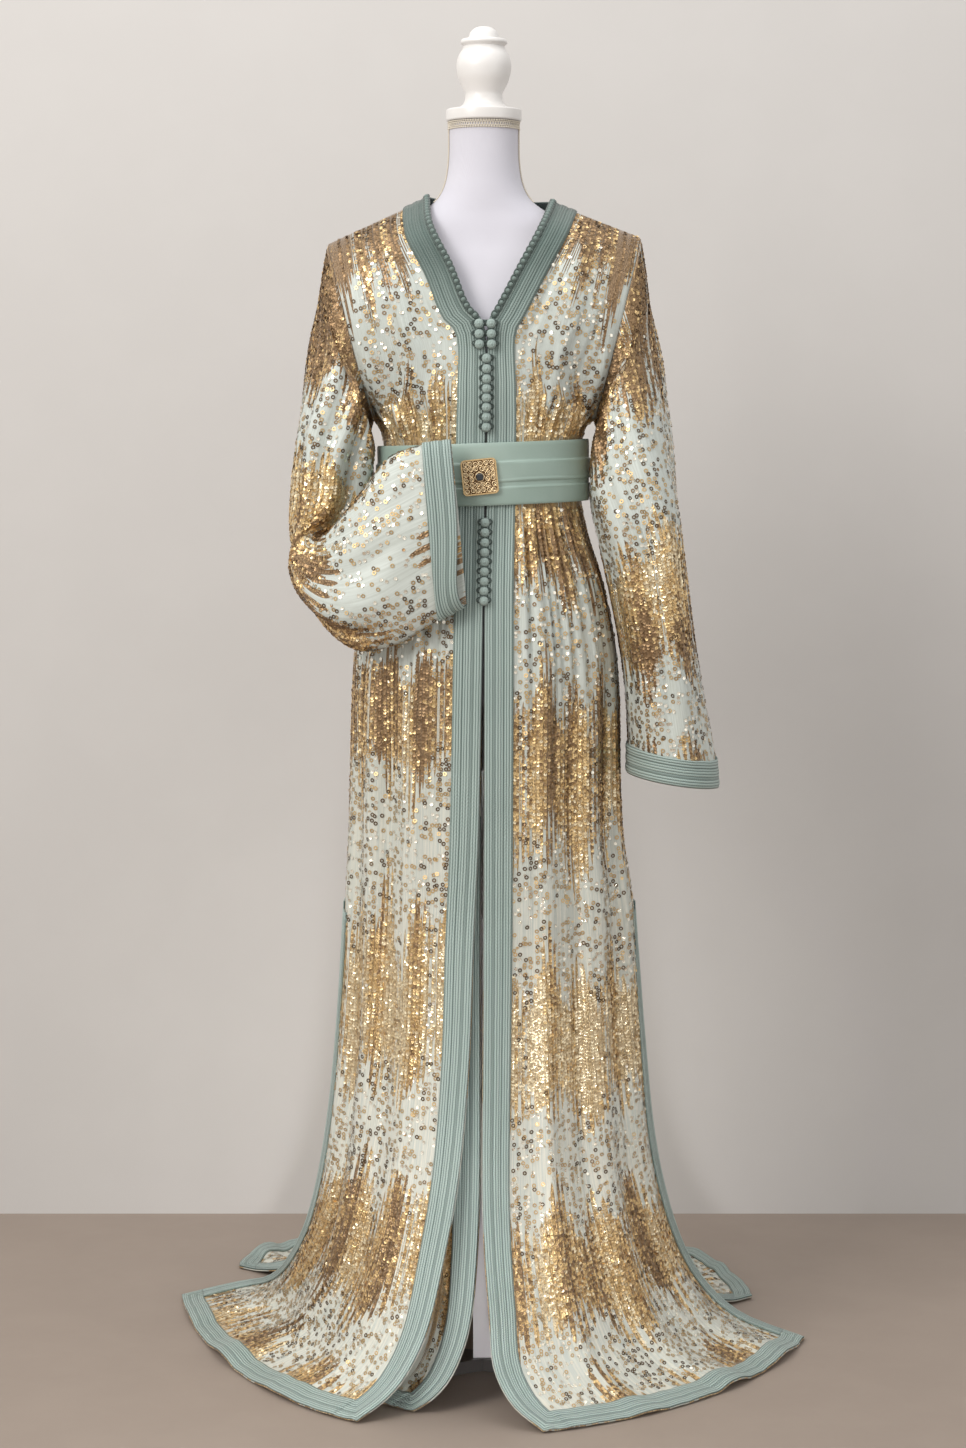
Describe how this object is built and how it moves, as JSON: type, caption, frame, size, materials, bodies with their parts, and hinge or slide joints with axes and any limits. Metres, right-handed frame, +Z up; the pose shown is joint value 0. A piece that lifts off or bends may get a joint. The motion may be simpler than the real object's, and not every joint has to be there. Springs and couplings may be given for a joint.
{
  "type": "moroccan kaftan on a limbless dress form",
  "caption": "Floor-length belted kaftan with braid bands, knotted buttons and wide sleeves, worn by a white limbless dress form on a post.",
  "frame": {"origin": "centre of the foot's flat underside, on the floor under the post", "axes": "+Z up along the post, +Y from the garment's front to its train, +X to the right of a person facing the garment"},
  "size_m": [0.8345, 0.9009, 1.6741],
  "materials": {
    "sequinned_satin": "pale sage satin covered in gold and bronze sequins",
    "braid": "sage green knitted cord braid, matt",
    "belt_satin": "pale sage satin, soft sheen",
    "gold": "gold filigree",
    "stone": "dark polished stone",
    "form_cloth": "white stretch jersey",
    "gimp": "cream gimp braid",
    "painted_wood": "white painted turned wood"
  },
  "bodies": {
    "root": {"front_left": "sequinned_satin", "front_right": "sequinned_satin", "back": "sequinned_satin", "sleeve_left": "sequinned_satin", "sleeve_right": "sequinned_satin", "inner_front": "sequinned_satin", "braid_front_left": "braid", "braid_front_right": "braid", "braid_neck": "braid", "braid_hem_left": "braid", "braid_hem_right": "braid", "braid_side_left": "braid", "braid_side_right": "braid", "braid_back_hem": "braid", "braid_back_left": "braid", "braid_back_right": "braid", "braid_inner": "braid", "braid_inner_hem": "braid", "cuff_left": "braid", "cuff_right": "braid", "button_01": "braid", "button_02": "braid", "button_03": "braid", "button_04": "braid", "button_05": "braid", "button_06": "braid", "button_07": "braid", "button_08": "braid", "button_09": "braid", "button_10": "braid", "button_11": "braid", "button_12": "braid", "button_13": "braid", "button_14": "braid", "button_15": "braid", "button_16": "braid", "button_17": "braid", "button_18": "braid", "button_19": "braid", "button_20": "braid", "button_21": "braid", "button_22": "braid", "button_23": "braid", "belt": "belt_satin", "buckle": "gold", "buckle_stone": "stone", "form": "form_cloth", "form_braid": "gimp", "form_cap": "painted_wood", "form_finial": "painted_wood", "post": "painted_wood", "base": "painted_wood"}
  },
  "joints": []
}
